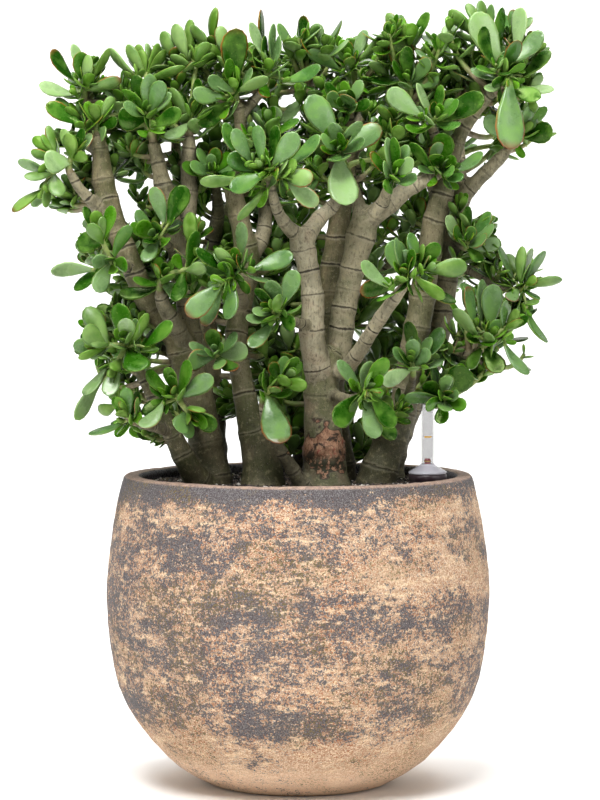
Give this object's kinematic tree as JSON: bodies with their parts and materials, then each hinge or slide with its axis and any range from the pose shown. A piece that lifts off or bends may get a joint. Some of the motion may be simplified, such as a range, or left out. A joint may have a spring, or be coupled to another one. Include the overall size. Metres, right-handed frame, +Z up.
{
  "type": "potted jade plant",
  "caption": "Jade plant with thick branching stems and fleshy spoon-shaped leaves, in a round speckled stoneware pot with a water-level gauge.",
  "frame": {"origin": "centre of the pot's flat foot, on the surface it stands on", "axes": "+Z up along the pot's axis, -Y to the front, +X to the right seen from the front"},
  "size_m": [0.5475, 0.4079, 0.7838],
  "materials": {
    "pot": "matt speckled stoneware, sand and charcoal",
    "soil": "loose dark grit with pale pumice",
    "bark": "grey-brown ringed bark",
    "leaf": "smooth fleshy leaf, soft gloss",
    "gauge_foot": "satin dark plastic",
    "gauge_tube": "clear smooth plastic",
    "gauge_float": "gloss"
  },
  "bodies": {
    "root": {"pot": "pot", "soil": "soil", "gauge_foot": "gauge_foot", "gauge_tube": "gauge_tube", "gauge_float": "gauge_float", "stem_left": "bark", "stem_mid_left": "bark", "stem_centre": "bark", "stem_back": "bark", "stem_right": "bark", "stem_far_right": "bark", "stem_back_left": "bark", "stem_back_right": "bark", "spray_01": "leaf", "spray_02": "leaf", "spray_03": "leaf", "spray_04": "leaf", "spray_05": "leaf", "spray_06": "leaf", "spray_07": "leaf", "spray_08": "leaf", "spray_09": "leaf", "spray_10": "leaf", "spray_11": "leaf", "spray_12": "leaf", "spray_13": "leaf", "spray_14": "leaf", "spray_15": "leaf", "spray_16": "leaf", "spray_17": "leaf", "spray_18": "leaf", "spray_19": "leaf", "spray_20": "leaf", "spray_21": "leaf", "spray_22": "leaf", "spray_23": "leaf", "spray_24": "leaf", "spray_25": "leaf", "spray_26": "leaf", "spray_27": "leaf", "spray_28": "leaf", "spray_29": "leaf", "spray_30": "leaf", "spray_31": "leaf", "spray_32": "leaf", "spray_33": "leaf", "spray_34": "leaf", "spray_35": "leaf", "spray_36": "leaf", "spray_37": "leaf", "spray_38": "leaf", "spray_39": "leaf", "spray_40": "leaf", "spray_41": "leaf", "spray_42": "leaf", "spray_43": "leaf", "spray_44": "leaf", "spray_45": "leaf", "spray_46": "leaf", "spray_47": "leaf"}
  },
  "joints": []
}
